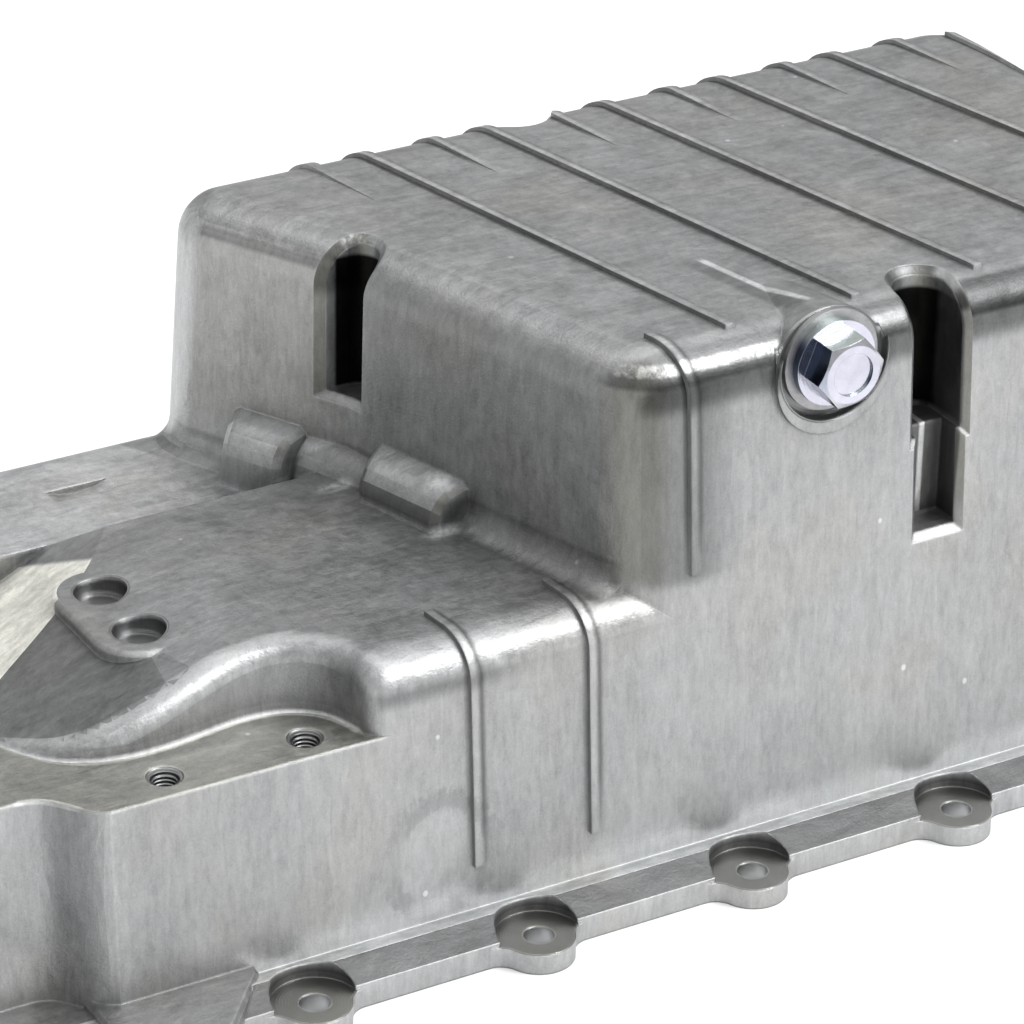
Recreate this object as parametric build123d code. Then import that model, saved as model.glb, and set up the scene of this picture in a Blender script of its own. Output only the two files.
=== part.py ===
from build123d import *
import math
import os

# Engine oil pan, cast in aluminium, with its drain plug and sealing washer.
# Millimetres. The pan stands on its sealing face, z = 0, with the sump floor up.
# +X runs along the engine from the shallow end to the sump, and -Y is the side
# with the drain plug. The origin is the centre of the bolt pattern on the face.

# Sealing flange and its bolts
bolt_pitch = 71.2
bolts_per_side = 8
bolt_line = 111.0
bolt_hole_diameter = 9.0
flange_thickness = 8.0
lobe_radius = 10.5
lobe_blend_radius = 6.5
spotface_radius = 12.7
spotface_height = 6.5
bead_ridge_in = 8.0
bead_ridge_height = 12.3
bead_foot_height = 10.4

# Walls
wall_foot = 96.0
wall_thickness = 4.5
top_thickness = 5.0
draft = 3.2

# Sump
sump_top = 163.6
sump_front_x = -22.3
sump_front_level = 92.0
sump_front_lean = 1.0
sump_skew = 17.2
sump_far_skew = 27.3
sump_far_lean = 0.4
sump_rear_x = 240.0
sump_corner_radius = 21.0
sump_far_corner_radius = 15.0
sump_edge_radius = 14.0
sump_foot_radius = 8.0

# Shallow end
deck_top = 93.5
deck_reach = 60.0
deck_edge_radius = 12.0
deck_far_edge = 19.5
deck_flat_end = -84.0
deck_run_out = -172.0
deck_run_out_fall = 0.28
shelf_top = 72.4
plateau_top = 82.0
plateau_near_edge = 36.0
plateau_edge_radius = 10.0
facet_point = (-131.0, 36.0, 74.7)
facet_normal = (-0.435, 0.24, 0.867)
front_x = -238.0
front_step_top = 58.0
jog_start = -179.0
jog_end = -154.0
jog_depth = 16.1
jog_lead = 0.6

# Shelf in the near wall, with its two tapped holes
shelf_outline = [(-176, -42), (-166.4, -54), (-158.4, -62.4), (-148.7, -67.1), (-134.6, -68.8),
                 (-118.6, -67.1), (-103, -65.4), (-93, -67.3), (-84.4, -73.5), (-80.4, -82.7),
                 (-77.5, -97)]
shelf_flare = 3.0
shelf_flare_rise = 26.0
shelf_rim_radius = 7.0
shelf_hole_xs = (-137.2, -94.4)
shelf_hole_y = -82.1
shelf_hole_depth = 14.0
tap_diameter = 6.8
tap_mouth = 10.0
tap_mouth_depth = 1.6
tap_jacket_radius = 9.0

# Pad with two blind holes on the deck
pad_hole_ys = (-8.2, -33.3)
pad_x = -120.7
pad_top = 89.3
pad_radius = 13.5
pad_hole_diameter = 15.5
pad_hole_depth = 5.0
pad_edge_chamfer = 1.2
pad_jacket_radius = 16.0

# Ribs
rib_width = 3.2
rib_height = 1.3
rib_skew = 12.4
floor_rib_start = 6.8
floor_rib_pitch = 42.0
floor_rib_count = 6
floor_rib_near_end = -76.0
floor_rib_datum = 90.0
short_rib_offset = -18.0
short_rib_length = 50.0
wall_rib_xs = (-46.2, -8.2)
wall_rib_foot = 24.0
wall_rib_run = 26.0
corner_rib_x = 26.0
corner_rib_foot = 97.0

# Deep slots in the sump walls
slot_lip = 2.0
front_slot_y = 21.0
front_slot_width = 12.6
front_slot_bottom = 116.0
front_slot_depth = 13.0
side_slot_x = 108.0
side_slot_width = 17.0
side_slot_depth = 20.0
side_slot_bottom = 120.0
side_slot_ledge = 90.0
side_slot_ledge_depth = 7.0
side_slot_ledge_step = 1.5
far_groove_xs = (66.0, 224.0)
far_groove_width = 19.0
far_groove_depth = 12.0

# Drain boss, plug and washer
drain_x = 70.2
drain_below_top = 11.2
drain_z = sump_top - drain_below_top
drain_boss_radius = 19.0
drain_boss_drop = 3.0
drain_boss_face = -89.4
drain_boss_end = -33.0
drain_boss_end_radius = 11.5
drain_recess_diameter = 36.0
drain_seat = -85.5
drain_thread_diameter = 16.0
drain_thread_clearance = 0.05
drain_thread_wall = 5.5
drain_thread_end = -69.5
plug_flange_diameter = 26.0
plug_flange_thickness = 2.6
plug_hex_width = 19.0
plug_hex_height = 8.6
plug_hex_turn = 9.0
plug_hex_chamfer_angle = 30.0
plug_hex_face_diameter = 17.6
plug_shank_length = 14.0
plug_dish_diameter = 13.0
plug_dish_depth = 0.8
washer_diameter = 31.0
washer_thickness = 2.0
washer_bore_clearance = 0.05

# Cast bulge where the front wall meets the deck
bulge_reach = 11.0
bulge_shoulder_drop = 7.0
bulge_lobes = ((56.0, 30.0, 101.0), (8.0, -30.0, 105.0))
bulge_bridge = (34.0, 4.0, 99.0)
bulge_bridge_reach = 7.0
bulge_edge_chamfer = 1.8
bulge_foot_flare = 1.5
bulge_crest_in = 4.0
bulge_end_cut = (0.35, 0.12)

# Lug on the flange at the shallow end
lug_outline = [(-166, -78), (-166, -121), (-137, -121), (-117.2, -98), (-117.2, -78)]
lug_top = 13.0
lug_corner_radius = 4.0
lug_edge_chamfer = 1.2

# Oval dimple on the plateau
dimple_x = -93.4
dimple_y = 62.5
dimple_width = 7.0
dimple_depth = 2.0
dimple_wheel = 26.0

# Longer than the pan: how far cutters and blocks run before they are trimmed
beyond = 400.0


def slope(angle):
    return math.tan(math.radians(angle))


def trim(body, point, outward):
    """Keep what lies behind the plane through point that faces outward."""
    return split(body, bisect_by=Plane(origin=point, z_dir=outward), keep=Keep.BOTTOM)


def block(x0, x1, y0, y1, z0, z1):
    """A box given by its limits on each axis."""
    size = (x1 - x0, y1 - y0, z1 - z0)
    middle = ((x0 + x1) / 2, (y0 + y1) / 2, (z0 + z1) / 2)
    return Pos(*middle) * Box(*size)


def between_walls(body, inset):
    """Cut body off at the two long drafted walls, moved in by inset."""
    body = trim(body, (0, -wall_foot + inset, 0), (0, -1, slope(draft)))
    return trim(body, (0, wall_foot - inset, 0), (0, 1, slope(draft)))


def edges_at(body, chosen):
    """The edges of body whose middle and direction pass the test chosen."""
    return [e for e in body.edges() if chosen(e @ 0.5, e % 0.5)]


def shared_edges(body, first, second, above):
    """The edges of body that lie where the surfaces of first and second meet, above a level."""
    found = []
    for edge in body.edges():
        middle = edge @ 0.5
        if middle.Z > above:
            point = Vertex(middle.X, middle.Y, middle.Z)
            gaps = [min(face.distance_to(point) for face in form.faces()) for form in (first, second)]
            if max(gaps) < 0.01:
                found.append(edge)
    return found


def front_wall_x(y):
    """Where the sump's front wall stands, at the level it is dimensioned at."""
    skew = sump_skew if y < deck_far_edge else sump_far_skew
    return sump_front_x - deck_far_edge * slope(sump_skew) - (y - deck_far_edge) * slope(skew)


def sump_form(inset, lid):
    """The sump's drafted block, its walls moved in by inset and its top by lid."""
    top = sump_top - lid
    whole = between_walls(block(-beyond, beyond, -beyond, beyond, -max(inset, 0), top), inset)
    whole = trim(whole, (sump_rear_x - inset, 0, 0), (1, 0, slope(draft)))
    bend = (front_wall_x(deck_far_edge) + inset, deck_far_edge, sump_front_level)
    near_part = trim(whole, bend, (-1, -slope(sump_skew), slope(sump_front_lean)))
    far_part = trim(whole, bend, (-1, -slope(sump_far_skew), slope(sump_far_lean)))
    body = near_part + far_part
    near = edges_at(body, lambda m, d: abs(d.Z) > 0.9 and m.Y < 0)
    body = fillet(near, sump_corner_radius - inset)
    far = edges_at(body, lambda m, d: abs(d.Z) > 0.9 and m.Y > wall_foot / 2)
    body = fillet(far, sump_far_corner_radius - inset)
    rim = edges_at(body, lambda m, d: m.Z > top - 0.01)
    return fillet(rim, sump_edge_radius - inset)


def deck_form(inset, lid):
    """The shallow end: deck, sloping facet and far plateau, walls moved in by inset."""
    top = deck_top - lid
    base = -max(inset, 0)
    left = -beyond
    overlap = deck_flat_end + 2
    near_block = block(deck_flat_end, deck_reach, -beyond, beyond, base, top)
    near_block = trim(near_block, (0, -wall_foot + inset, 0), (0, -1, slope(draft)))
    rim = edges_at(near_block, lambda m, d: m.Z > top - 0.1 and m.Y < 0 and abs(d.X) > 0.9)
    near_block = fillet(rim, deck_edge_radius - inset)
    with BuildSketch(Plane.XZ) as side:
        with BuildLine():
            Line((overlap, base), (overlap, top))
            Line((overlap, top), (deck_flat_end, top))
            Spline((deck_flat_end, top), (deck_run_out, shelf_top - lid),
                   tangents=((-1, 0), (-1, -deck_run_out_fall)))
            Line((deck_run_out, shelf_top - lid), (left, shelf_top - lid))
            Line((left, shelf_top - lid), (left, base))
            Line((left, base), (overlap, base))
        make_face()
    deck = near_block + extrude(side.sketch, amount=beyond, both=True)
    far_slope = (0, deck_top - plateau_top, plateau_near_edge - deck_far_edge)
    deck = trim(deck, (0, deck_far_edge - inset, deck_top), far_slope)
    facet = tuple(p - lid * n for p, n in zip(facet_point, facet_normal))
    deck = trim(deck, facet, facet_normal)
    level = plateau_top - lid
    plateau = block(left, deck_reach, plateau_near_edge + inset, beyond, base, level)
    plateau = trim(plateau, (0, wall_foot - inset, 0), (0, 1, slope(draft)))
    brow = edges_at(plateau, lambda m, d: m.Z > level - 0.1 and m.Y > wall_foot / 2 and abs(d.X) > 0.9)
    plateau = fillet(brow, plateau_edge_radius - inset)
    step = block(left, deck_run_out, -beyond, beyond, base, front_step_top - lid)
    body = deck + between_walls(step, inset) + plateau
    body = between_walls(body, inset)
    return trim(body, (front_x + inset, 0, 0), (-1, 0, slope(draft)))


def jog_cutter(inset):
    """What the narrower shallow end leaves out of the near wall, in plan."""
    wall = -wall_foot + shelf_top * slope(draft) + inset
    start = (jog_end + inset, wall - jog_lead)
    end = (jog_start + inset, wall + jog_depth)
    with BuildSketch(Plane.XY.offset(shelf_top)) as plan:
        with BuildLine():
            Line((start[0], -beyond), start)
            Spline(start, end, tangents=((-1, 0), (-1, 0)))
            Line(end, (-beyond, end[1]))
            Line((-beyond, end[1]), (-beyond, -beyond))
            Line((-beyond, -beyond), (start[0], -beyond))
        make_face()
    return extrude(plan.sketch, amount=shelf_top * 1.5, dir=(0, slope(draft), 1), both=True)


def shelf_cutter():
    """The space over the shelf, its back wall flared a little towards the top."""
    levels = []
    for flare, rise in ((0, 0), (shelf_flare, shelf_flare_rise)):
        points = [(x + flare / 2, y + flare) for x, y in shelf_outline]
        with BuildSketch(Plane.XY.offset(shelf_top + rise)) as plan:
            with BuildLine():
                Spline(*points)
                Line(points[-1], (points[-1][0], -beyond))
                Line((points[-1][0], -beyond), (points[0][0], -beyond))
                Line((points[0][0], -beyond), points[0])
            make_face()
        levels.append(plan.sketch.faces()[0])
    return loft(levels)


def slot_cutters(grow):
    """The deep slots in the sump's walls, each wider and deeper by grow."""
    near_wall = -wall_foot + sump_top * slope(draft)
    front = (front_wall_x(front_slot_y), front_slot_y, (1, 0, 0), front_slot_width,
             front_slot_bottom, front_slot_depth)
    side = (side_slot_x, near_wall, (0, 1, 0), side_slot_width, side_slot_bottom, side_slot_depth)
    far = [(x, -near_wall, (0, -1, 0), far_groove_width, deck_top, far_groove_depth)
           for x in far_groove_xs]
    cutters = []
    for x, y, inward, width, bottom, depth in (front, side, *far):
        start = (x - inward[0] * wall_foot, y - inward[1] * wall_foot, bottom - grow)
        plan = Plane(origin=start, x_dir=inward, z_dir=(0, 0, 1))
        cutters.append(groove(plan, width + 2 * grow, beyond, wall_foot + depth + grow))
    half = side_slot_width / 2 - side_slot_ledge_step + grow
    cutters.append(block(side_slot_x - half, side_slot_x + half, -beyond,
                         near_wall + side_slot_ledge_depth + grow, side_slot_ledge - grow,
                         side_slot_bottom + side_slot_ledge_depth))
    return cutters


def groove(plane, width, length, depth):
    """An upright groove with a round back, cut in from plane along its x direction."""
    half = width / 2
    with BuildSketch(plane) as plan:
        with BuildLine():
            Line((0, -half), (0, half))
            Line((0, half), (depth - half, half))
            ThreePointArc((depth - half, half), (depth, 0), (depth - half, -half))
            Line((depth - half, -half), (0, -half))
        make_face()
    return extrude(plan.sketch, amount=length)


def stadium(plane, width, length, depth):
    """A prism with round ends, centred on plane and pushed out along its normal."""
    with BuildSketch(plane) as outline:
        SlotOverall(length, width)
    return extrude(outline.sketch, amount=depth)


def along_y(x, z, y0, y1, r0, r1):
    """A round form on a line along Y, from radius r0 at y0 to r1 at y1."""
    middle = Pos(x, (y0 + y1) / 2, z) * Rot(-90, 0, 0)
    if r0 == r1:
        return middle * Cylinder(r0, y1 - y0)
    return middle * Cone(r0, r1, y1 - y0)


def shallow_end():
    """The shallow end as cast, with its jogged wall and the shelf let into it."""
    deck = deck_form(0, 0) - jog_cutter(0)
    cutter = shelf_cutter()
    shelved = deck - cutter
    rim = shared_edges(shelved, deck, cutter, shelf_top + 1)
    return fillet(rim, shelf_rim_radius)


def sump():
    """The sump as cast, with eased lips on its deep slots."""
    whole = sump_form(0, 0)
    cutters = slot_cutters(0)
    slotted = whole
    for cutter in cutters:
        slotted = slotted - cutter
    lips = []
    for cutter in cutters:
        lips += [e for e in shared_edges(slotted, whole, cutter, 0) if e not in lips]
    return chamfer(lips, slot_lip)


def bolt_points():
    """Centres of the flange bolt holes, in plan."""
    xs = [(i - (bolts_per_side - 1) / 2) * bolt_pitch for i in range(bolts_per_side)]
    return [(x, side * bolt_line) for side in (-1, 1) for x in xs]


def flange_form():
    """The sealing flange: a plate with a lobe at each bolt and a sloped bead along the walls."""
    end_x = (bolts_per_side - 1) / 2 * bolt_pitch
    reach = end_x + lobe_radius
    inner_bolts = [(x, y) for x, y in bolt_points() if abs(x) < end_x - 1]
    end_bolts = [(x, y) for x, y in bolt_points() if abs(x) > end_x - 1]
    with BuildSketch() as outline:
        RectangleRounded(2 * reach, 2 * bolt_line, lobe_radius)
        with Locations(*inner_bolts):
            Circle(lobe_radius)
        necks = [v for v in outline.vertices() if abs(abs(v.Y) - bolt_line) < 0.01
                 and abs(v.X) < end_x - 0.01]
        fillet(necks, lobe_blend_radius)
        with Locations(*end_bolts):
            Circle(lobe_radius)
    plate = extrude(outline.sketch, amount=spotface_height)
    bead_points = [(0, 0), (bolt_line, 0), (bolt_line, flange_thickness),
                   (bolt_line - bead_ridge_in, bead_ridge_height),
                   (wall_foot, bead_foot_height), (0, bead_foot_height)]
    with BuildSketch(Plane.YZ.offset(-reach)) as section:
        for side in (-1, 1):
            with BuildLine():
                Polyline(*[(side * y, z) for y, z in bead_points], close=True)
            make_face()
    bead = extrude(section.sketch, amount=2 * reach)
    upright = edges_at(bead, lambda m, d: abs(d.Z) > 0.9 and abs(m.Y) > bolt_line - 1)
    bead = fillet(upright, lobe_radius)
    for x, y in bolt_points():
        bead -= Pos(x, y, spotface_height + beyond / 2) * Cylinder(spotface_radius, beyond)
    return plate + bead


def slab(x, y, skew, width, y0, y1, z0, z1):
    """An upright slab through (x, y) in plan, turned by skew and running from y0 to y1."""
    turn = slope(skew)
    left = [(x - (end - y) * turn - width / 2, end) for end in (y0, y1)]
    right = [(x - (end - y) * turn + width / 2, end) for end in (y1, y0)]
    with BuildSketch(Plane.XY.offset(z0)) as plan:
        with BuildLine():
            Polyline(*left, *right, close=True)
        make_face()
    return extrude(plan.sketch, amount=z1 - z0)


def sump_ribs():
    """Long and short cooling ribs across the sump floor, and the rib down the near corner."""
    grown = sump_form(-rib_height, -rib_height)
    for cutter in slot_cutters(slot_lip):
        grown = grown - cutter
    fade_y = wall_foot - short_rib_length
    fade = rib_height / (short_rib_length - sump_edge_radius)
    ribs = []
    for i in range(floor_rib_count):
        x = floor_rib_start + i * floor_rib_pitch
        ribs.append(slab(x, floor_rib_datum, rib_skew, rib_width, floor_rib_near_end, beyond / 2,
                         deck_top, beyond))
        short = slab(x + short_rib_offset, floor_rib_datum, rib_skew, rib_width, fade_y, beyond / 2,
                     deck_top, beyond)
        ribs.append(trim(short, (0, fade_y, sump_top), (0, -fade, 1)))
    ribs.append(slab(corner_rib_x, -wall_foot, rib_skew, rib_width, -beyond / 2, floor_rib_near_end + 6,
                     corner_rib_foot, beyond))
    return [rib & grown for rib in ribs]


def deck_ribs():
    """The two ribs that climb the near wall and run on to the deck."""
    grown = deck_form(-rib_height, -rib_height)
    return [slab(x, -wall_foot, rib_skew / 2, rib_width, -beyond / 2, -wall_foot + wall_rib_run,
                 wall_rib_foot, beyond) & grown for x in wall_rib_xs]


def bulge_form():
    """The cast bulge along the front wall's foot: two lobes and a lower bridge."""
    spans = [(*lobe, bulge_reach) for lobe in bulge_lobes] + [(*bulge_bridge, bulge_bridge_reach)]
    lean, rise = bulge_end_cut
    pieces = []
    for far, near, top, reach in spans:
        x0, x1 = front_wall_x(near), front_wall_x(far)
        along = Vector(x1 - x0, far - near, 0).normalized()
        out = Vector(-along.Y, along.X, 0)
        section = Plane(origin=(x0, near, 0), x_dir=out, z_dir=along)
        shoulder = top - bulge_shoulder_drop
        points = [(-wall_thickness, shelf_top), (reach + bulge_foot_flare, shelf_top), (reach, shoulder),
                  (reach - bulge_crest_in, top - 1), (-wall_thickness, top + 3)]
        with BuildSketch(section) as outline:
            with BuildLine():
                Polyline(*[(a, b * section.y_dir.Z) for a, b in points], close=True)
            make_face()
        lobe = extrude(outline.sketch, amount=math.hypot(x1 - x0, far - near))
        for end, way in ((Vector(x0, near, 0), -1), (Vector(x1, far, 0), 1)):
            facing = along * way + out * lean + Vector(0, 0, rise)
            lobe = trim(lobe, end + Vector(0, 0, shoulder - bulge_shoulder_drop), facing)
        pieces.append(chamfer(lobe.edges(), bulge_edge_chamfer))
    return pieces


def drain_boss():
    """The thickened boss round the drain hole, which rises out of the sump floor."""
    return along_y(drain_x, drain_z - drain_boss_drop, drain_boss_face, drain_boss_end,
                   drain_boss_radius, drain_boss_end_radius)


def pad():
    """The raised pad on the deck that carries the two blind holes."""
    root = shelf_top - top_thickness
    middle = sum(pad_hole_ys) / 2
    span = abs(pad_hole_ys[0] - pad_hole_ys[1])
    base = Plane(origin=(pad_x, middle, root), x_dir=(0, 1, 0), z_dir=(0, 0, 1))
    body = stadium(base, 2 * pad_radius, span + 2 * pad_radius, pad_top - root)
    return chamfer(edges_at(body, lambda m, d: m.Z > pad_top - 0.01), pad_edge_chamfer)


def lug():
    """The flat lug that stands on the flange beside the shallow end."""
    with BuildSketch() as plan:
        with BuildLine():
            Polyline(*lug_outline, close=True)
        make_face()
    body = extrude(plan.sketch, amount=lug_top)
    outer = edges_at(body, lambda m, d: abs(d.Z) > 0.9 and m.Y < -bolt_line + lobe_radius * 1.5)
    body = fillet(outer, lug_corner_radius)
    return chamfer(edges_at(body, lambda m, d: m.Z > lug_top - 0.01), lug_edge_chamfer)


def cavity():
    """The hollow that the casting leaves inside its walls."""
    inner = deck_form(wall_thickness, top_thickness) - jog_cutter(wall_thickness)
    inner = inner + sump_form(wall_thickness, top_thickness)
    under_shelf = shelf_top - top_thickness
    inner = inner - block(-beyond, shelf_outline[-1][0] + wall_thickness, -beyond,
                          shelf_outline[0][1], under_shelf, beyond)
    for cutter in slot_cutters(wall_thickness):
        inner = inner - cutter
    for x in shelf_hole_xs:
        inner -= Pos(x, shelf_hole_y, shelf_top) * Cylinder(
            tap_jacket_radius, 2 * (shelf_hole_depth + top_thickness))
    inner = inner - block(pad_x - pad_jacket_radius, pad_x + pad_jacket_radius,
                          min(pad_hole_ys) - pad_jacket_radius, max(pad_hole_ys) + pad_jacket_radius,
                          pad_top - pad_hole_depth - top_thickness, beyond)
    radius = drain_thread_diameter / 2 + drain_thread_wall
    return inner - along_y(drain_x, drain_z, -beyond, drain_thread_end, radius, radius)


def footed(shallow, deep):
    """The two castings joined, with a fillet round the foot of the sump's front wall."""
    body = shallow + deep
    foot = shared_edges(body, shallow, deep, shelf_top)
    half = wall_foot - deck_edge_radius
    rounded = fillet([e for e in foot if abs((e @ 0.5).Y) < half], sump_foot_radius)
    # The fillet runs out to nothing at the long walls, so its last few millimetres are left off
    kept = block(-beyond, beyond, -half, half, shelf_top, deck_top + 2 * sump_foot_radius)
    return body + (rounded & kept)


def oil_pan():
    """The whole casting, machined."""
    body = footed(shallow_end(), sump())
    for piece in [*bulge_form(), drain_boss(), flange_form(), *sump_ribs(), *deck_ribs(), lug(), pad()]:
        body = body + piece
    body -= (Pos(dimple_x, dimple_y, plateau_top - dimple_depth + dimple_wheel) * Rot(90, 0, 0)
             * Cylinder(dimple_wheel, dimple_width))
    body = body - cavity()
    for y in pad_hole_ys:
        body -= Pos(pad_x, y, pad_top) * Cylinder(pad_hole_diameter / 2, 2 * pad_hole_depth)
    for x, y in bolt_points():
        body -= Pos(x, y, 0) * Cylinder(bolt_hole_diameter / 2, 4 * bead_ridge_height)
    for x in shelf_hole_xs:
        body -= Pos(x, shelf_hole_y, shelf_top - shelf_hole_depth / 2) * Cylinder(
            tap_diameter / 2, shelf_hole_depth)
        body -= Pos(x, shelf_hole_y, shelf_top - tap_mouth_depth / 2) * Cone(
            tap_diameter / 2, tap_mouth / 2, tap_mouth_depth)
    recess = drain_recess_diameter / 2
    body -= along_y(drain_x, drain_z, -beyond, drain_seat, recess, recess)
    bore = drain_thread_diameter / 2 + drain_thread_clearance
    return body - along_y(drain_x, drain_z, -beyond, 0, bore, bore)


def drain_plug():
    """Hexagon flange plug: shank, flange and dished hexagon head."""
    head_back = drain_seat - washer_thickness
    flange_front = head_back - plug_flange_thickness
    top = flange_front - plug_hex_height
    shank = drain_thread_diameter / 2
    plug = along_y(drain_x, drain_z, head_back, head_back + plug_shank_length, shank, shank)
    collar = plug_flange_diameter / 2
    plug += along_y(drain_x, drain_z, flange_front, head_back, collar, collar)
    hexagon = Plane(origin=(drain_x, flange_front, drain_z), x_dir=(1, 0, 0), z_dir=(0, -1, 0))
    with BuildSketch(hexagon) as outline:
        RegularPolygon(plug_hex_width / 2, 6, major_radius=False, rotation=plug_hex_turn)
    corner = plug_hex_width / 2 / math.cos(math.radians(30))
    face = plug_hex_face_diameter / 2
    eased = top + (corner - face) * slope(plug_hex_chamfer_angle)
    envelope = along_y(drain_x, drain_z, top, eased, face, corner) + along_y(
        drain_x, drain_z, eased, flange_front, corner, corner)
    plug += extrude(outline.sketch, amount=plug_hex_height) & envelope
    dish = plug_dish_diameter / 2
    return plug - along_y(drain_x, drain_z, top, top + plug_dish_depth, dish, dish)


def drain_washer():
    """The flat sealing washer between the plug's flange and its seat."""
    back = drain_seat - washer_thickness
    rim = washer_diameter / 2
    bore = drain_thread_diameter / 2 + washer_bore_clearance
    return along_y(drain_x, drain_z, back, drain_seat, rim, rim) - along_y(
        drain_x, drain_z, back, drain_seat, bore, bore)


if __name__ == "__main__":
    os.makedirs("parts", exist_ok=True)
    export_step(oil_pan(), "parts/oil_pan.step")
    export_step(drain_plug(), "parts/drain_plug.step")
    export_step(drain_washer(), "parts/drain_plug_gasket.step")
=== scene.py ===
import math
from types import SimpleNamespace

import bpy
from mathutils import Matrix, Vector


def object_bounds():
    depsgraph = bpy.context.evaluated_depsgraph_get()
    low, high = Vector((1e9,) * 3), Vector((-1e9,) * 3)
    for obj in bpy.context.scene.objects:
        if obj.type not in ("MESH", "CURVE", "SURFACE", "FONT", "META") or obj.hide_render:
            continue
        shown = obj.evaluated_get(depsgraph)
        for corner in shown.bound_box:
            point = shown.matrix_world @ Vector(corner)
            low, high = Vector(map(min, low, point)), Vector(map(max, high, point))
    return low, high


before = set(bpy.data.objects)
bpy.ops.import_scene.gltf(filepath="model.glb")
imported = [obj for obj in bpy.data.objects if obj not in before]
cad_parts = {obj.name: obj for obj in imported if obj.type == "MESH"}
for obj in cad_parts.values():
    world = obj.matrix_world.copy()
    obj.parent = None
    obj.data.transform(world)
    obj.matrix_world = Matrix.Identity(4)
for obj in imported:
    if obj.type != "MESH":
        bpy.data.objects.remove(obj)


def as_lists(box):
    """A pair of corners as plain lists of numbers."""
    return [[float(c) for c in corner] for corner in box]


cad_box = as_lists(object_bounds())
MM = 0.001
TURN = 2 * math.pi

# ---------------------------------------------------------------- node helper
# Samples that each rounded edge and each hollow corner is looked at with
EDGE_SAMPLES = 2
# The Mix node holds one set of sockets for each kind of data: these are its colours'
MIX_FACTOR, MIX_A, MIX_B, MIX_RESULT = 0, 6, 7, 2


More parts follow.
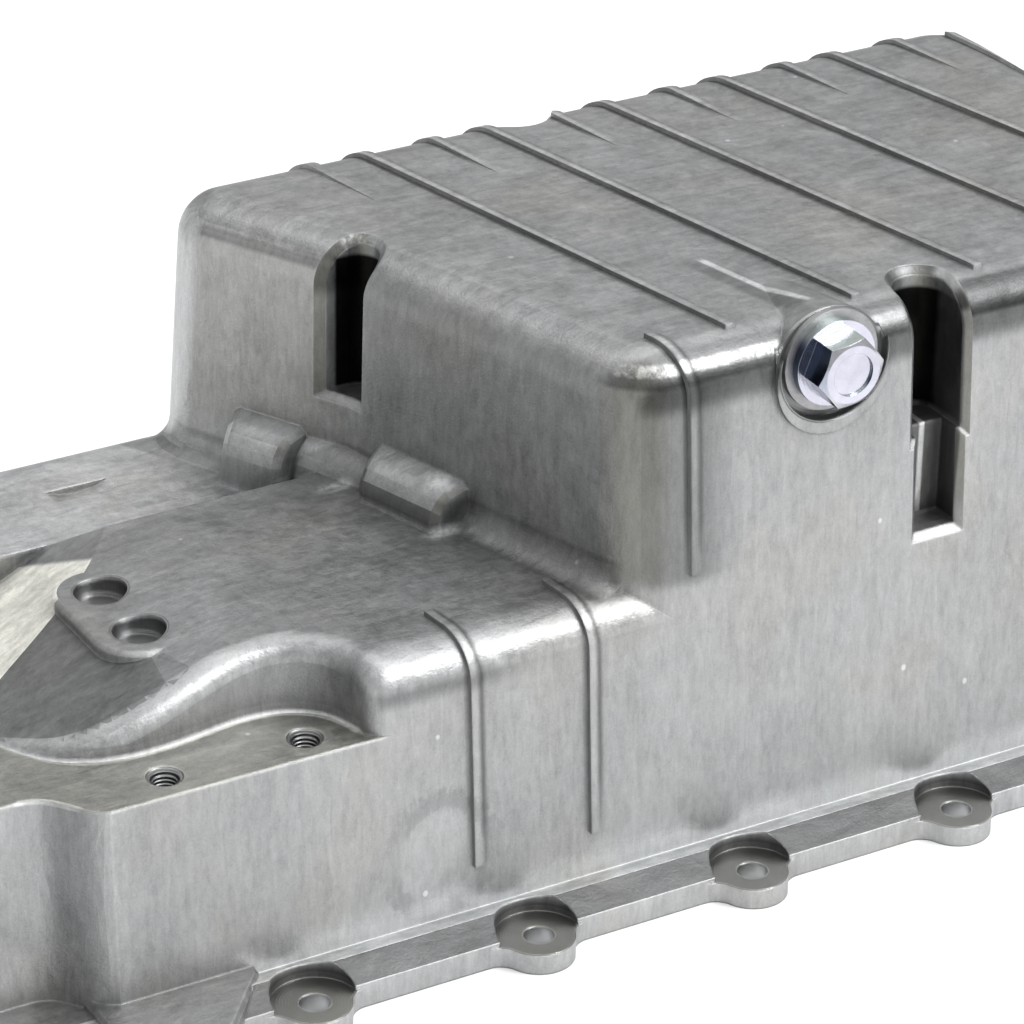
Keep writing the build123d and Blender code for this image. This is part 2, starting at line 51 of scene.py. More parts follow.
class Graph:
    """Builds one material's nodes. The methods that add a pattern, a mask or a sum return its socket.

    x, y and z are millimetres in the object's own frame; nx, ny and nz are the flat face's normal there,
    and sx, sy and sz the smooth one's.
    """

    def __init__(self, name):
        self.material = bpy.data.materials.new(name)
        self.material.use_nodes = True
        self.tree = self.material.node_tree
        self.tree.nodes.clear()
        self.output = self.node("ShaderNodeOutputMaterial")
        coords = self.node("ShaderNodeTexCoord")
        self.place = self.vector("SCALE", coords.outputs["Object"], 1 / MM)
        self.x, self.y, self.z = self.split(self.place)
        geometry = self.node("ShaderNodeNewGeometry")
        self.flat_normal = geometry.outputs["True Normal"]
        self.nx, self.ny, self.nz = self.facing(self.flat_normal)
        self.sx, self.sy, self.sz = self.facing(geometry.outputs["Normal"])

    def node(self, kind, **settings):
        made = self.tree.nodes.new(kind)
        for key, value in settings.items():
            setattr(made, key, value)
        return made

    def put(self, socket, value):
        """Feed a socket from another socket or with a fixed value."""
        if isinstance(value, bpy.types.NodeSocket):
            self.tree.links.new(value, socket)
        else:
            socket.default_value = value

    # Vectors
    def facing(self, normal):
        """A world normal's parts in the object's own frame."""
        turn = self.node("ShaderNodeVectorTransform", vector_type="NORMAL",
                         convert_from="WORLD", convert_to="OBJECT")
        self.put(turn.inputs[0], normal)
        return self.split(turn.outputs[0])

    def split(self, vector):
        made = self.node("ShaderNodeSeparateXYZ")
        self.put(made.inputs[0], vector)
        return made.outputs[0], made.outputs[1], made.outputs[2]

    def join(self, x, y, z):
        made = self.node("ShaderNodeCombineXYZ")
        for socket, value in zip(made.inputs, (x, y, z)):
            self.put(socket, value)
        return made.outputs[0]

    def vector(self, operation, a, b, result=0):
        made = self.node("ShaderNodeVectorMath", operation=operation)
        self.put(made.inputs[0], a)
        self.put(made.inputs["Scale" if operation == "SCALE" else 1], b)
        return made.outputs[result]

    def dot(self, a, b):
        return self.vector("DOT_PRODUCT", a, b, "Value")

    # Numbers
    def math(self, operation, a, b=0.0):
        made = self.node("ShaderNodeMath", operation=operation)
        self.put(made.inputs[0], a)
        self.put(made.inputs[1], b)
        return made.outputs[0]

    def chain(self, operation, values):
        result = values[0]
        for value in values[1:]:
            result = self.math(operation, result, value)
        return result

    def add(self, *values):
        return self.chain("ADD", values)

    def times(self, *values):
        return self.chain("MULTIPLY", values)

    def most(self, *values):
        return self.chain("MAXIMUM", values)

    def less(self, a, b):
        return self.math("SUBTRACT", a, b)

    def remap(self, value, low, high, at_low=0.0, at_high=1.0, smooth=True):
        """at_low where value is low, at_high where it is high, and between them in between."""
        made = self.node("ShaderNodeMapRange", interpolation_type="SMOOTHSTEP" if smooth else "LINEAR")
        for index, item in enumerate((value, low, high, at_low, at_high)):
            self.put(made.inputs[index], item)
        return made.outputs[0]

    def blend(self, amount, a, b):
        """Between two numbers by amount."""
        return self.remap(amount, 0.0, 1.0, a, b, smooth=False)

    def wrap(self, value, pitch):
        """Repeats value every pitch, from -pitch / 2 to pitch / 2."""
        return self.less(self.math("FLOORED_MODULO", self.add(value, pitch / 2), pitch), pitch / 2)

    # Masks: 1 inside and 0 outside
    def near(self, value, centre, half, soft):
        """1 within half of centre, falling to 0 over soft."""
        gap = self.math("ABSOLUTE", self.less(value, centre))
        return self.remap(gap, half, half + soft, 1.0, 0.0)

    def box(self, low, high, soft):
        parts = []
        for value, a, b in zip((self.x, self.y, self.z), low, high):
            parts.append(self.near(value, (a + b) / 2, (b - a) / 2, soft))
        return self.times(*parts)

    def spot(self, centre, halves):
        """An ellipsoid that fades from its centre to its surface."""
        parts = []
        for value, middle, half in zip((self.x, self.y, self.z), centre, halves):
            parts.append(self.math("POWER", self.math("DIVIDE", self.less(value, middle), half), 2.0))
        return self.remap(self.math("SQRT", self.add(*parts)), 1.0, 0.1)

    def radius(self, a, b, a0=0.0, b0=0.0):
        """Distance from the line through (a0, b0) in the plane of a and b."""
        da = self.less(a, a0)
        db = self.less(b, b0)
        return self.math("SQRT", self.add(self.times(da, da), self.times(db, db)))

    # Patterns
    def noise(self, scale, detail, roughness, stretch=(1, 1, 1), distortion=0.0, shift=0.0):
        """Noise with features of about 1 / scale millimetres, squeezed by stretch along each axis."""
        made = self.node("ShaderNodeTexNoise")
        spread = self.vector("MULTIPLY", self.place, stretch)
        self.put(made.inputs["Vector"], self.vector("ADD", spread, (shift, shift * 1.7, shift * 0.6)))
        self.put(made.inputs["Scale"], scale)
        self.put(made.inputs["Detail"], detail)
        self.put(made.inputs["Roughness"], roughness)
        self.put(made.inputs["Distortion"], distortion)
        return made.outputs["Fac"]

    def swing(self, pattern, amount):
        """A pattern turned into a change of tone round zero."""
        return self.times(self.less(pattern, 0.5), amount)

    def cells(self, scale, stretch):
        """Distance from the nearest of points scattered about 1 / scale millimetres apart."""
        made = self.node("ShaderNodeTexVoronoi")
        self.put(made.inputs["Vector"], self.vector("MULTIPLY", self.place, stretch))
        self.put(made.inputs["Scale"], scale)
        return made.outputs["Distance"]

    def hollow(self, distance):
        """Close to 1 in the open and to 0 deep in a corner."""
        made = self.node("ShaderNodeAmbientOcclusion", samples=EDGE_SAMPLES)
        self.put(made.inputs["Distance"], distance)
        return made.outputs["AO"]

    # Surface
    def shade(self, tone, pairs):
        """Multiply a tone by each pair's factor where its mask is 1."""
        for mask, factor in pairs:
            tone = self.times(tone, self.blend(mask, 1.0, factor))
        return tone

    def tint(self, amount, a, b, kind="MIX"):
        made = self.node("ShaderNodeMix", data_type="RGBA", blend_type=kind)
        for index, value in ((MIX_FACTOR, amount), (MIX_A, a), (MIX_B, b)):
            self.put(made.inputs[index], value)
        return made.outputs[MIX_RESULT]

    def rounded(self, radius):
        """The normal as if edges were rounded to a radius in metres."""
        made = self.node("ShaderNodeBevel", samples=EDGE_SAMPLES)
        self.put(made.inputs["Radius"], radius)
        return made.outputs[0]

    def bump(self, height, distance, strength, normal):
        made = self.node("ShaderNodeBump")
        self.put(made.inputs["Height"], height)
        self.put(made.inputs["Distance"], distance)
        self.put(made.inputs["Strength"], strength)
        self.put(made.inputs["Normal"], normal)
        return made.outputs[0]

    def metal(self, colour, roughness, normal):
        """Finish the material as bare metal and return it."""
        shader = self.node("ShaderNodeBsdfPrincipled")
        self.put(shader.inputs["Base Color"], colour)
        self.put(shader.inputs["Roughness"], roughness)
        self.put(shader.inputs["Metallic"], 1.0)
        self.put(shader.inputs["Normal"], normal)
        self.put(self.output.inputs["Surface"], shader.outputs[0])
        return self.material


# ---------------------------------------------------------------- places on the casting
# Sizes and places that the finish follows, in millimetres
SUMP_TOP, DECK_TOP, PLATEAU_TOP, SHELF_TOP, LUG_TOP = 163.6, 93.5, 82.0, 72.4, 13.0
PLATEAU_EDGE_Y = 36.0
FLANGE_THICKNESS = 8.0
BOLT_PITCH = 71.2
BOLT_LINE = 111.0
BOLT_HOLE_RADIUS = 4.5
SPOTFACE_HEIGHT, SPOTFACE_RADIUS = 6.5, 12.7
DRAIN_X, DRAIN_Z = 70.2, SUMP_TOP - 11.2
DRAIN_SEAT, DRAIN_RECESS_RADIUS = -85.5, 18.0
SHELF_HOLES = ((-137.2, -82.1), (-94.4, -82.1))
PAD_HOLES = ((-120.7, -8.2), (-120.7, -33.3))
TAP_PITCH = 1.25
# Ribs: where the first one starts, how far apart they are and how far they are skewed
FLOOR_RIB_START, FLOOR_RIB_PITCH, FLOOR_RIB_DATUM = 6.8, 42.0, 90.0
FLOOR_RIB_SKEW, WALL_RIB_SKEW = math.tan(math.radians(12.4)), math.tan(math.radians(6.2))
SHORT_RIB_OFFSET = -18.0
WALL_RIB_START, WALL_RIB_PITCH, WALL_FOOT = -46.2, 38.0, 96.0
CORNER_RIB_X = 26.0
# The sump's front wall has one skew up to the bend and another past it
FRONT_X, FRONT_SKEW = -22.3, math.tan(math.radians(17.2))
BEND_Y, BEND_SKEW = 19.5, math.tan(math.radians(27.3))
# Boxes round the pad and inside the deep slots and the pocket, and the pocket's two ridges in x
PAD_BOX = ((-140, -50, 80), (-104, 8, 92))
FRONT_SLOT_BOX = ((-26, 14.0, 117.0), (0, 28.0, 157.0))
SIDE_SLOT_BOX = ((100.2, -88, 122), (115.8, -55, 157))
POCKET_BOX = ((101, -88, 91.5), (115.5, -70, 121))
POCKET_RIDGES = (103.4, 108.2)
# Ridge on the sump's floor that runs on from the drain boss, with a painted highlight and painted shade: a
# place on it and its skew
RIDGE_X, RIDGE_Y, RIDGE_SKEW = 60.0, -36.0, 0.237
# Painted highlights on the bulge: centre and half sizes
GLINTS = (((-36.5, 9.5, 93.5), (9.0, 4.2, 3.0)),
          ((-22.5, -30.4, 93.5), (9.0, 4.2, 3.0)),
          ((-19.5, -22.0, 105.6), (6.0, 8.0, 2.6)))
# Round stain on the near wall: its centre in x and z, its radius, and its squeeze along z
STAIN_X, STAIN_Z, STAIN_RADIUS, STAIN_SQUEEZE = -58.0, 30.0, 16.0, 0.9
# Plug: its thread's pitch, its shank's radius and where the shank starts
PLUG_PITCH, SHANK_RADIUS, SHANK_START = 1.5, 8.0, DRAIN_SEAT - 2.0

# Greys of the casting, a cut face and a bolt's bore (lighter, as painted light inside the bore), and the
# gain of tone in a painted highlight
CAST_GREY, CUT_GREY, BORE_GREY, GLINT_GAIN = 0.335, 0.2, 0.5, 2.2
# Colours of plain aluminium and of its warmer places
CLEAN, WARMER = (0.985, 1.0, 1.01, 1), (1.03, 1.025, 0.955, 1)


# ---------------------------------------------------------------- cast aluminium
class CastGraph(Graph):
    """The casting's graph, with the patterns and masks that several parts of its finish share."""

    def __init__(self):
        super().__init__("cast_aluminium")
        # Patterns, from wide to fine, and streaks along the faces that look up
        self.cloud = self.noise(0.016, 2, 0.6, (1, 1, 0.7))
        self.blotch = self.noise(0.075, 4, 0.65, (1, 1, 0.6), 0.5, 13)
        self.speck = self.noise(0.42, 3, 0.65, (1, 1, 0.55), 0.3, 31)
        self.streak = self.noise(0.15, 4, 0.66, (0.35, 1.5, 1), 0.7, 3)
        # Faces that look one way, and single ones: the sump's near corner, the sloping facet and the shelf
        self.upward = self.remap(self.nz, 0.55, 0.85)
        self.level = self.remap(self.nz, 0.9, 0.97)
        self.near_wall = self.remap(self.ny, -0.95, -0.7, 1.0, 0.0)
        self.high = self.remap(self.z, 138, 142)
        self.fillet = self.times(self.remap(self.sx, -0.05, -0.5), self.remap(self.sy, -0.22, -0.75),
                                 self.remap(self.z, 92, 100))
        self.facet = self.times(self.remap(self.nx, -0.3, -0.4), self.remap(self.ny, 0.1, 0.18),
                                self.near(self.z, 78, 16, 2),
                                self.remap(self.add(self.x, self.times(self.y, 0.387)), -110.5, -113.0))
        self.shelf = self.times(self.level, self.near(self.z, SHELF_TOP, 0.4, 0.3),
                                self.remap(self.y, -40, -44))
        self.shelf_foot = self.times(self.near(self.z, 73.5, 1.8, 0.8), self.near(self.x, -127, 50, 3),
                                     self.remap(self.y, -88, -85), self.remap(self.y, -36, -40))
        self.bulge, self.bulge_foot = bulge(self)
        # Painted shade in corners and creases, and the rolled rims, which carry painted highlights
        self.open_air = self.hollow(9 * MM)
        self.corner_shade = self.times(self.remap(self.open_air, 0.35, 0.95, 1.0, 0.0),
                                self.remap(self.z, 12, 26, 0.3, 1.0), self.blend(self.shelf_foot, 1.0, 0.3))
        self.deck_rim = self.times(self.near(self.sz, 0.48, 0.14, 0.2), self.remap(self.sy, -0.3, -0.6),
                                   self.near(self.z, 86, 9, 1))
        self.sump_rim = self.times(self.near(self.sz, 0.67, 0.06, 0.07), self.remap(self.sy, -0.3, -0.6),
                                   self.high)


def bulge(g):
    """1 on the cast bulge along the front wall's foot, and 1 where it meets the deck."""
    near_line = g.less(FRONT_X, g.times(g.y, FRONT_SKEW))
    past_bend = g.times(g.less(g.y, BEND_Y), BEND_SKEW)
    far_line = g.less(FRONT_X - BEND_Y * FRONT_SKEW, past_bend)
    out = g.less(g.math("MINIMUM", near_line, far_line), g.x)
    deck = g.remap(g.y, BEND_Y, PLATEAU_EDGE_Y, DECK_TOP, PLATEAU_TOP, smooth=False)
    above = g.less(g.z, deck)
    foot = g.times(g.near(out, 3.5, 4, 2), g.near(above, 3.5, 4, 2))
    body = g.times(g.remap(out, 0.2, 1.0), g.remap(out, 13, 15, 1.0, 0.0),
                   g.remap(above, 0.8, 2.0), g.remap(above, 24, 22), g.near(g.y, 13, 45, 2))
    return body, foot


def rib_shade(g, across, flank, crest, far_side):
    """Painted shade and highlight across a cast rib: shade on its near flank, a highlight on its crest and
    shade on its far side.
    """
    return g.add(g.times(g.near(across, -2.3, 0.35, 0.8), flank),
                 g.times(g.near(across, -0.6, 0.5, 0.7), crest),
                 g.times(g.near(across, 2.0, 0.5, 1.5), far_side))


def ribs(g):
    """Painted shade and highlight along the ribs, and the strip that they take up."""
    fall = g.times(g.less(g.y, FLOOR_RIB_DATUM), FLOOR_RIB_SKEW)
    across = g.less(g.add(g.x, fall), FLOOR_RIB_START)
    on_top = g.times(g.remap(g.z, 148, 154), g.near(across, 105, 118, 4))
    long_rib = g.wrap(across, FLOOR_RIB_PITCH)
    long_reach = g.times(on_top, g.remap(g.y, -77, 70, 0.35, 1.0), g.remap(g.y, -78, -74))
    short_rib = g.wrap(g.less(across, SHORT_RIB_OFFSET), FLOOR_RIB_PITCH)
    short_reach = g.times(on_top, g.remap(g.y, 46, 66))

    from_foot = g.add(g.y, WALL_FOOT)
    near_side = g.remap(g.y, -69, -73)
    climb = g.less(g.add(g.x, g.times(from_foot, WALL_RIB_SKEW)), WALL_RIB_START)
    wall_rib = g.wrap(climb, WALL_RIB_PITCH)
    wall_reach = g.times(g.remap(g.z, 97, 95), g.near(climb, 19, 28, 4), near_side, g.remap(g.z, 24, 46))
    corner_rib = g.less(g.add(g.x, g.times(from_foot, FLOOR_RIB_SKEW)), CORNER_RIB_X)
    corner_reach = g.times(near_side, g.remap(g.z, 97, 118), g.near(corner_rib, 0, 8, 1))

    change = g.add(g.times(rib_shade(g, long_rib, -0.52, 0.42, -0.12), long_reach),
                   g.times(rib_shade(g, short_rib, -0.50, 0.34, -0.05), short_reach),
                   g.times(rib_shade(g, wall_rib, -0.16, 0.10, -0.42), wall_reach),
                   g.times(rib_shade(g, corner_rib, -0.30, 0.22, -0.30), corner_reach))
    strips = []
    for place, reach in ((long_rib, on_top), (short_rib, short_reach),
                         (wall_rib, g.remap(wall_reach, 0.0, 0.1)), (corner_rib, corner_reach)):
        strips.append(g.times(g.near(place, 0.0, 2.6, 0.6), reach))
    return change, g.most(*strips)


# Each of the next five functions gives pairs: a mask of one kind of face, and its factor of tone; most
# factors are painted light and shade, a face made lighter or darker as light falls on it
def deck_faces(g):
    deck = g.times(g.upward, g.remap(g.z, 96, 99, 1.0, 0.0), g.remap(g.z, 73, 80),
                   g.remap(g.y, 14, 24, 1.0, 0.0))
    plateau = g.times(g.level, g.near(g.z, PLATEAU_TOP, 2.2, 1),
                     g.remap(g.y, PLATEAU_EDGE_Y - 2, PLATEAU_EDGE_Y + 1))
    shelf_back = g.times(g.remap(g.nz, 0.35, 0.6, 1.0, 0.0), g.near(g.z, 83, 9, 1),
                         g.near(g.x, -125, 50, 2), g.near(g.y, -66, 14, 4))
    under_rim = g.times(g.near(g.z, 83.0, 0.2, 4.5), g.remap(g.sy, -0.7, -0.9),
                        g.remap(g.x, -84, -74), g.remap(g.x, -20, -48))
    slope = g.times(g.near(g.nx, -0.31, 0.04, 0.04), g.remap(g.nz, 0.92, 0.94), g.near(g.z, 76, 15, 2),
                    g.remap(g.x, -100, -106))
    # Painted light on the plateau and a painted highlight on the sloping facet; painted shade on the deck,
    # under its rim and on the sloping face
    return ((deck, 0.86), (plateau, 1.45), (shelf_back, 0.98), (under_rim, 0.62), (slope, 0.58),
            (g.facet, 2.5), (g.shelf, 0.88))


def flange_faces(g):
    bead = g.times(g.remap(g.z, 12.6, 13, 1.0, 0.0), g.remap(g.nz, 0.8, 0.86),
                   g.remap(g.nz, 0.9, 0.94, 1.0, 0.0))
    inner_bead = g.times(g.near(g.z, 11.3, 1.3, 0.3), g.remap(g.nz, 0.9, 0.95),
                         g.near(g.math("ABSOLUTE", g.y), 99.5, 4.5, 0.5))
    side = g.times(g.remap(g.z, FLANGE_THICKNESS + 0.3, FLANGE_THICKNESS + 0.6, 1.0, 0.0),
                   g.remap(g.nz, 0.2, 0.4, 1.0, 0.0), g.remap(g.nz, -0.3, -0.1))
    lug = g.times(g.near(g.z, LUG_TOP, 0.6, 0.3), g.near(g.x, -142, 26, 1), g.remap(g.y, -76, -78))
    # Painted shade on the bead's slope, a painted highlight on its inner strip, and the flange's side
    # lighter
    return (bead, 0.35), (inner_bead, 2.6), (side, 1.35), (lug, 0.98)


def sump_faces(g):
    under_rim = g.times(g.near(g.z, 152.5, 2.0, 6.0), g.remap(g.sy, -0.75, -0.88), g.high)
    rolled_rim = g.times(g.near(g.sz, 0.66, 0.24, 0.12), g.remap(g.sy, -0.25, -0.5), g.high)
    right_rim = g.times(rolled_rim, g.remap(g.x, 113, 117))
    front_line = g.times(g.remap(g.sx, -0.08, -0.25), g.remap(g.sz, 0.78, 0.92), g.remap(g.sz, 0.99, 0.96),
                         g.remap(g.sy, -0.4, -0.25), g.high)
    by_corner = g.times(g.near_wall, g.remap(g.z, 92, 97), g.remap(g.x, 44, 25))
    slot_side = g.times(g.near_wall, g.near(g.x, -29, 6, 1), g.remap(g.y, 22, 25), g.remap(g.z, 100, 104))
    front = g.times(g.remap(g.nx, -0.86, -0.6, 1.0, 0.0), g.remap(g.z, 66, 74))
    # Painted shade under and on the rolled rim, along the front edge, beside the corner rib and on the near
    # corner; painted light on the slot's side and on the front wall, more towards its far end
    return ((under_rim, 0.42), (rolled_rim, 0.5), (right_rim, 0.55), (front_line, 0.8), (by_corner, 0.6),
            (slot_side, 1.7), (front, g.remap(g.y, 4, 40, 0.92, 1.7)), (g.fillet, 0.7))


def bulge_faces(g):
    front = g.times(g.bulge, g.remap(g.nz, 0.5, 0.3), g.remap(g.nx, -0.5, -0.7))
    near_front = g.times(front, g.remap(g.y, 14, 8))
    # Painted shade on the bulge's front faces and where it meets the deck
    return (g.bulge, 1.05), (front, 0.68), (near_front, 0.66), (g.bulge_foot, 0.7)


def near_wall_faces(g):
    """The whole wall and its end made lighter as painted light, the ragged round stain on it, and painted
    shade at its foot.
    """
    end_wall = g.times(g.near_wall, g.remap(g.x, -150, -160))
    ring = g.radius(g.x, g.times(g.z, STAIN_SQUEEZE), STAIN_X, STAIN_Z * STAIN_SQUEEZE)
    ragged = g.add(ring, g.swing(g.speck, 9.0))
    stain_edge = g.times(g.near_wall, g.near(ragged, STAIN_RADIUS, 1.5, 2.5), g.remap(g.blotch, 0.35, 0.6))
    stain = g.times(g.near_wall, g.remap(ragged, STAIN_RADIUS - 4, STAIN_RADIUS, 1.0, 0.0))
    foot = g.times(g.near_wall, g.remap(g.z, 11.0, 24.0, 1.0, 0.0), g.remap(g.cloud, 0.3, 0.65, 0.6, 1.0))
    return (end_wall, 1.15), (g.near_wall, 1.19), (stain_edge, 0.8), (stain, 1.1), (foot, 0.88)


def cast_skin(g):
    """Tone of the rough casting before anything on it is told apart."""
    wall = g.less(1.0, g.upward)
    grain = g.noise(1.9, 1, 0.7)
    scuff = g.noise(0.42, 3, 0.7, (1, 1, 0.16), 0.8, 7)
    nick = g.remap(g.cells(0.045, (1, 1, 0.8)), 0.025, 0.045, 1.0, 0.0)
    return g.add(1.0, g.swing(g.cloud, 0.36), g.swing(g.blotch, 0.50), g.swing(g.speck, 0.48),
                 g.swing(grain, 0.30), g.times(wall, g.swing(scuff, 0.50)),
                 g.times(g.upward, g.swing(g.streak, 0.75)), g.times(nick, 0.6))


def edge_rounding(g):
    """Radius in metres that the shading rounds edges to."""
    radius = g.blend(g.remap(g.z, 14, 20), 1.0, 1.6)
    radius = g.blend(g.bulge, radius, 4.5)
    radius = g.blend(g.most(g.box(*PAD_BOX, 1.0), g.shelf_foot), radius, 2.6)
    return g.times(radius, MM)


def edge_wear_and_highlight(g, edge, proud):
    """Gain of tone: wear and a painted highlight on proud edges, painted highlights along the rolled rims,
    and a painted highlight on the shelf's foot.
    """
    edge_wear_and_sheen = g.times(proud, g.most(g.remap(g.z, 12.6, 14, 0.9, 0.35), g.times(g.shelf, 0.9)))
    mottle = g.remap(g.add(g.times(g.speck, 0.6), g.times(g.blotch, 0.4)), 0.42, 0.58, 0.4, 1.7)
    rims = g.add(g.times(g.deck_rim, 0.30), g.times(g.sump_rim, g.remap(g.x, 60, 110, 1.0, 0.0), mottle))
    return g.add(edge_wear_and_sheen, rims, g.times(g.shelf_foot, edge, 1.5))


def boss_ridge(g):
    """Painted highlight on the crest and painted shade beside it, along the ridge that carries the drain
    boss on over the sump's floor.
    """
    across = g.add(g.less(g.x, RIDGE_X), g.times(g.less(g.y, RIDGE_Y), RIDGE_SKEW))
    reach = g.times(g.near(g.y, -55, 19, 4), g.remap(g.z, 160, 162))
    crest = g.near(across, 0.0, 0.6, 1.0)
    dark_side = g.near(across, -3.6, 1.2, 2.6)
    return g.times(reach, g.add(crest, g.times(dark_side, -0.34)))


def deep_places(g):
    """Pairs of mask and factor: painted shade deep in the two slots, and in the pocket, with painted
    highlights on its two ridges.
    """
    slots = g.most(g.box(*FRONT_SLOT_BOX, 1.5), g.box(*SIDE_SLOT_BOX, 1.5))
    ridges = g.most(*(g.near(g.x, place, 0.5, 0.8) for place in POCKET_RIDGES))
    return (slots, 0.04), (g.box(*POCKET_BOX, 0.8), g.add(0.42, g.times(ridges, 1.3)))


def holes(g, places, fade, middle, half):
    """1 in upright holes, fading out between two radii, within half of a middle height."""
    masks = []
    for hx, hy in places:
        masks.append(g.times(g.remap(g.radius(g.x, g.y, hx, hy), *fade, 1.0, 0.0),
                             g.near(g.z, middle, half, 0.4)))
    return g.most(*masks)


def machining(g):
    """Masks of the cut places, and the turning lines round the nearest bolt or the drain."""
    far_left = 20 * BOLT_PITCH
    column = g.math("PINGPONG", g.add(g.x, far_left), BOLT_PITCH / 2)
    beside = g.less(g.math("ABSOLUTE", g.y), BOLT_LINE)
    bolt_r = g.radius(g.less(BOLT_PITCH / 2, column), beside)
    drain_r = g.radius(g.x, g.z, DRAIN_X, DRAIN_Z)
    cut = SimpleNamespace()
    cut.spotface = g.times(g.near(g.z, SPOTFACE_HEIGHT, 0.2, 0.15),
                           g.remap(bolt_r, SPOTFACE_RADIUS - 0.2, SPOTFACE_RADIUS + 0.2, 1.0, 0.0))
    cut.recess = g.times(g.near(bolt_r, SPOTFACE_RADIUS, 0.3, 0.2),
                         g.remap(g.z, SPOTFACE_HEIGHT + 0.1, SPOTFACE_HEIGHT + 0.4),
                         g.remap(g.nz, 0.4, 0.6, 1.0, 0.0),
                         g.remap(g.math("ABSOLUTE", g.y), BOLT_LINE, BOLT_LINE - 1))
    cut.bore = g.remap(bolt_r, BOLT_HOLE_RADIUS + 0.1, BOLT_HOLE_RADIUS + 0.3, 1.0, 0.0)
    cut.face = g.remap(g.z, 0.05, 0.3, 1.0, 0.0)
    cut.seat = g.times(g.remap(drain_r, DRAIN_RECESS_RADIUS + 0.2, DRAIN_RECESS_RADIUS + 0.6, 1.0, 0.0),
                       g.remap(g.y, DRAIN_SEAT + 1.5, DRAIN_SEAT + 0.5))
    cut.tapped = holes(g, SHELF_HOLES, (5.05, 5.3), 65, 8)
    cut.blind = holes(g, PAD_HOLES, (8.0, 8.3), 87, 4)
    cut.all = g.most(cut.spotface, cut.face, cut.seat, cut.tapped, cut.blind, cut.bore)
    cut.turning = g.math("SINE", g.times(g.math("MINIMUM", bolt_r, drain_r), 7.0))
    return cut


def cast_tone(g, cut, edge, rib_light_and_shade, rib_strip):
    """Grey of the casting, with its cut places."""
    tone = cast_skin(g)
    for faces in (deck_faces, flange_faces, sump_faces, bulge_faces, near_wall_faces):
        tone = g.shade(tone, faces(g))
    tone = g.times(tone, g.add(1.0, rib_light_and_shade))
    # Painted shade in corners and creases, patchy
    tone = g.shade(tone, ((g.times(g.corner_shade, g.remap(g.blotch, 0.3, 0.7, 0.6, 1.0)), 0.42),))
    # Proud edges in the open, which get wear and a painted highlight
    proud = g.times(edge, g.remap(g.open_air, 0.80, 0.98), g.blend(rib_strip, 1.0, 0.1),
                    g.blend(g.bulge, 1.0, 0.25))
    tone = g.times(tone, g.add(1.0, edge_wear_and_highlight(g, edge, proud)), g.add(1.0, boss_ridge(g)))
    # Painted highlights on the bulge, patchy
    glint = g.most(*(g.spot(centre, halves) for centre, halves in GLINTS))
    tone = g.blend(g.times(glint, g.remap(g.speck, 0.3, 0.6, 0.25, 0.85)), tone, GLINT_GAIN)
    tone = g.times(g.shade(tone, deep_places(g)), CAST_GREY)
    # Painted shade low on the spotfaces' recess walls and a painted highlight at their tops
    tone = g.shade(tone, ((cut.recess, g.remap(g.z, 8.5, 12.0, 0.45, 1.5)),))
    blind_floor = g.times(cut.blind, g.remap(g.nz, 0.5, 0.8))
    # A cut face is lighter on its proud edges, as wear and a painted highlight
    worked = g.add(CUT_GREY, g.swing(g.blotch, 0.1), g.times(cut.turning, 0.006), g.times(proud, 0.4),
                   g.times(blind_floor, 0.14))
    # The bore gets a lighter grey: painted light inside it
    return g.blend(cut.all, tone, g.blend(cut.bore, worked, BORE_GREY))


def cast_aluminium():
    g = CastGraph()
    cut = machining(g)
    rib_light_and_shade, rib_strip = ribs(g)
    edge_normal = g.rounded(edge_rounding(g))
    edge = g.remap(g.dot(edge_normal, g.flat_normal), 0.99, 0.90)
    tone = cast_tone(g, cut, edge, rib_light_and_shade, rib_strip)

    warm = g.remap(g.noise(0.022, 2, 0.5, shift=51), 0.45, 0.7)
    # Warmer at random, on spotfaces and the shelf, and with the painted shade on the sump's near corner and
    # the painted highlight on the sloping facet
    warm_share = g.most(g.times(warm, 0.45), g.times(cut.spotface, 0.8), g.fillet, g.shelf, g.facet)
    colour = g.tint(1.0, g.tint(warm_share, CLEAN, WARMER), g.join(tone, tone, tone), "MULTIPLY")

    rough = g.add(0.47, g.swing(g.blotch, 0.22), g.swing(g.speck, 0.2), g.times(g.corner_shade, 0.12),
                  g.times(g.most(g.deck_rim, g.sump_rim), -0.06), g.times(g.shelf, -0.06),
                  g.times(g.facet, 0.25))
    rough = g.blend(cut.all, rough, 0.33)

    grit = g.noise(1.1, 3, 0.75, shift=3)
    dents = g.noise(0.09, 2, 0.5, (1, 1, 0.6), 0.2, 19)
    relief = g.add(g.times(grit, 0.14), g.times(dents, 0.7), g.times(g.upward, g.times(g.streak, 0.14)))
    relief = g.times(relief, g.less(1.0, g.times(cut.all, 0.85)))
    threads = g.math("SINE", g.times(g.z, TURN / TAP_PITCH))
    lines = g.add(g.times(g.most(cut.spotface, cut.seat), g.times(cut.turning, 0.008)),
                  g.times(cut.tapped, g.times(threads, 0.35)))
    return g.metal(colour, rough, g.bump(g.add(relief, lines), 1 * MM, 0.9, edge_normal))


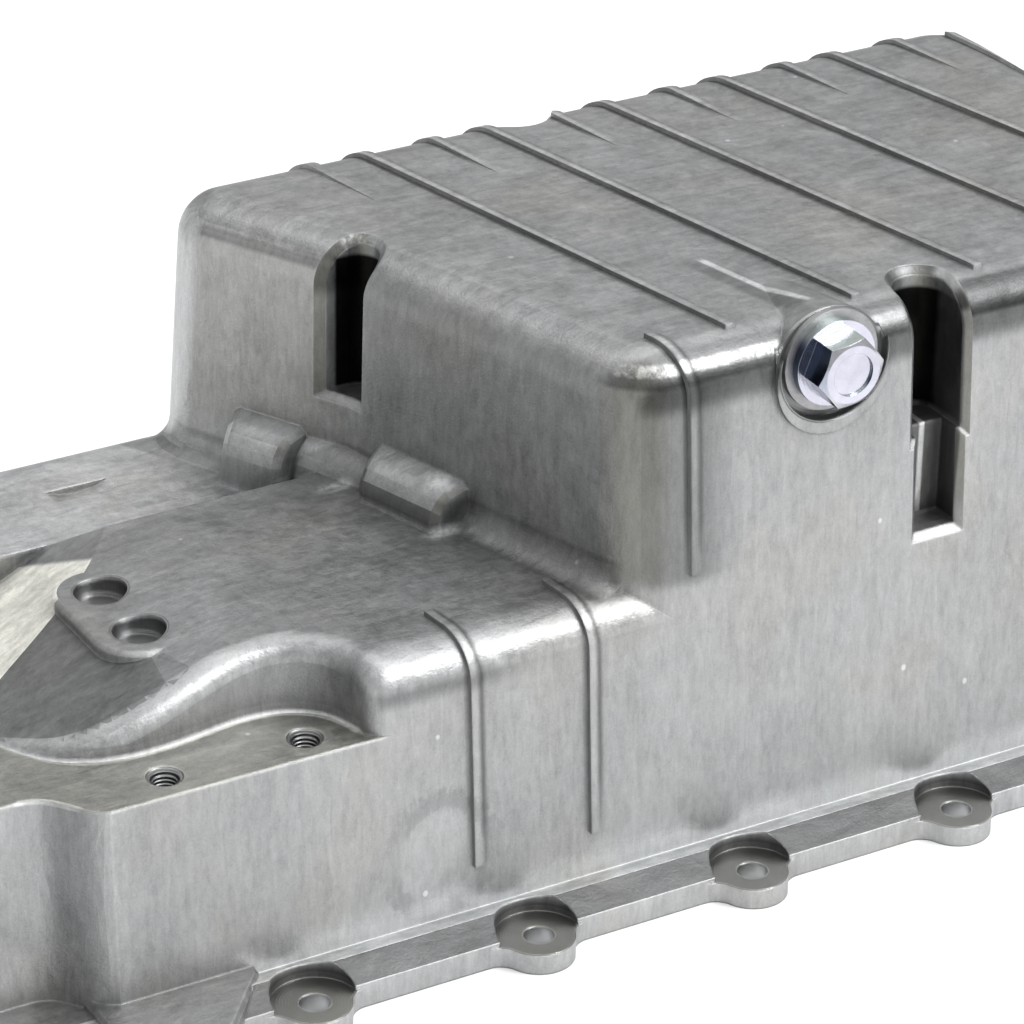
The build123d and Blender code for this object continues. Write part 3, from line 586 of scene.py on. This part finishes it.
# ---------------------------------------------------------------- plug and washer
def zinc_steel():
    """Plated plug with painted light and reflections: lighter and green where it faces up, blue where it
    faces out, darker and blue on its shaded flats, with its thread as relief.
    """
    g = Graph("zinc_steel")
    haze = g.noise(0.12, 3, 0.6, distortion=0.4)
    fine = g.noise(1.4, 3, 0.6)
    lit = g.remap(g.nz, 0.45, 0.8)
    shaded = g.times(g.remap(g.nx, -0.35, -0.8), g.less(1.0, lit))
    outward = g.remap(g.ny, -0.98, -0.9, 1.0, 0.0)
    tone = g.add(0.55, g.swing(haze, 0.3), g.swing(fine, 0.12))
    # Painted light where the plug faces up and painted shade on its flats that face away
    tone = g.shade(tone, ((shaded, 0.16), (lit, 1.25)))
    hue = g.tint(haze, (0.94, 0.96, 1.04, 1), (0.99, 0.98, 1.04, 1))
    for mask, reflection_tint in ((lit, (0.93, 1.03, 1.0, 1)), (outward, (0.97, 0.97, 1.12, 1)),
                          (shaded, (0.6, 0.8, 1.25, 1))):
        hue = g.tint(mask, hue, reflection_tint)
    colour = g.tint(1.0, g.join(tone, tone, tone), hue, "MULTIPLY")
    rough = g.add(0.2, g.swing(haze, 0.14), g.swing(fine, 0.06))

    drain_r = g.radius(g.x, g.z, DRAIN_X, DRAIN_Z)
    rings = g.math("SINE", g.times(drain_r, 6.0))
    shank = g.times(g.remap(drain_r, SHANK_RADIUS + 0.2, SHANK_RADIUS + 0.5, 1.0, 0.0),
                    g.remap(g.y, SHANK_START + 0.3, SHANK_START + 0.9))
    around = g.math("ARCTAN2", g.less(g.x, DRAIN_X), g.less(g.z, DRAIN_Z))
    helix = g.math("SINE", g.less(g.times(g.y, TURN / PLUG_PITCH), around))
    relief = g.add(g.times(fine, 0.03), g.times(outward, g.times(rings, 0.004)),
                   g.times(shank, g.times(helix, 0.3)))
    return g.metal(colour, rough, g.bump(relief, 1 * MM, 0.6, g.rounded(0.3 * MM)))


def gasket_metal():
    g = Graph("gasket_metal")
    haze = g.noise(0.3, 3, 0.6)
    fine = g.noise(2.2, 3, 0.6)
    tone = g.add(0.34, g.swing(haze, 0.22), g.swing(fine, 0.14))
    rough = g.add(0.42, g.swing(fine, 0.2))
    return g.metal(g.join(tone, tone, g.times(tone, 1.02)), rough,
                   g.bump(g.add(fine, haze), 0.08 * MM, 0.8, g.rounded(0.4 * MM)))


def give(node, material):
    """Swap a CAD node's material for a better one."""
    mesh_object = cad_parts[node]
    if not mesh_object.material_slots:
        mesh_object.data.materials.append(material)
    for slot in mesh_object.material_slots:
        slot.material = material


give("oil_pan", cast_aluminium())
give("drain_plug", zinc_steel())
give("drain_plug_gasket", gasket_metal())


# ---------------------------------------------------------------- stage, lights and camera
# Metres and watts from here on
FLOOR_HALF, FLOOR_GREY, FLOOR_ROUGHNESS = 6.0, 0.86, 0.9
WORLD_GREY = 0.62
LAMP_TARGET = (0.0, 0.0, 0.08)
# Each lamp's name, place, width, height and power
LAMPS = (("key", (0.85, -0.95, 1.5), 0.9, 0.7, 26),
         ("top", (0.0, 0.2, 2.2), 2.4, 2.4, 32))
CAMERA_PLACE = (-0.61661, -1.08418, 0.74261)
# The camera's heading from +y towards +x, its look down and its lean, in degrees
CAMERA_HEADING, CAMERA_DOWN, CAMERA_LEAN = 30.35, 27.95, 1.0
CAMERA_LENS_MM, CAMERA_SENSOR_MM, CAMERA_REACH = 168.0, 36.0, 30.0


def floor(height):
    mesh = bpy.data.meshes.new("floor")
    corners = [(x * FLOOR_HALF, y * FLOOR_HALF, 0) for x, y in ((-1, -1), (1, -1), (1, 1), (-1, 1))]
    mesh.from_pydata(corners, [], [(0, 1, 2, 3)])
    made = bpy.data.objects.new("floor", mesh)
    made.location.z = height
    bpy.context.collection.objects.link(made)
    material = bpy.data.materials.new("floor")
    material.use_nodes = True
    shader = material.node_tree.nodes["Principled BSDF"]
    shader.inputs["Base Color"].default_value = (FLOOR_GREY, FLOOR_GREY, FLOOR_GREY, 1)
    shader.inputs["Roughness"].default_value = FLOOR_ROUGHNESS
    made.data.materials.append(material)


def softbox(name, place, width, height, power):
    lamp = bpy.data.lights.new(name, "AREA")
    lamp.shape = "RECTANGLE"
    lamp.size = width
    lamp.size_y = height
    lamp.energy = power
    made = bpy.data.objects.new(name, lamp)
    made.location = place
    made.rotation_euler = (Vector(LAMP_TARGET) - Vector(place)).to_track_quat("-Z", "Y").to_euler()
    bpy.context.collection.objects.link(made)


def camera():
    turn, tilt, roll = (math.radians(angle) for angle in (CAMERA_HEADING, CAMERA_DOWN, CAMERA_LEAN))
    ahead = Vector((math.sin(turn) * math.cos(tilt), math.cos(turn) * math.cos(tilt), -math.sin(tilt)))
    level = Vector((math.cos(turn), -math.sin(turn), 0))
    above = level.cross(ahead)
    right = level * math.cos(roll) + above * math.sin(roll)
    up = above * math.cos(roll) - level * math.sin(roll)
    data = bpy.data.cameras.new("camera")
    data.sensor_fit = "HORIZONTAL"
    data.sensor_width = CAMERA_SENSOR_MM
    data.lens = CAMERA_LENS_MM
    data.clip_end = CAMERA_REACH
    made = bpy.data.objects.new("camera", data)
    columns = Matrix((right, up, -ahead)).transposed().to_4x4()
    made.matrix_world = Matrix.Translation(CAMERA_PLACE) @ columns
    bpy.context.collection.objects.link(made)
    bpy.context.scene.camera = made


def studio():
    world = bpy.data.worlds.new("studio")
    bpy.context.scene.world = world
    world.use_nodes = True
    background = world.node_tree.nodes["Background"]
    background.inputs["Color"].default_value = (WORLD_GREY, WORLD_GREY, WORLD_GREY, 1)
    background.inputs["Strength"].default_value = 1.0


floor(cad_box[0][2])
for lamp_values in LAMPS:
    softbox(*lamp_values)
camera()
studio()
bpy.context.scene.view_settings.view_transform = "Standard"
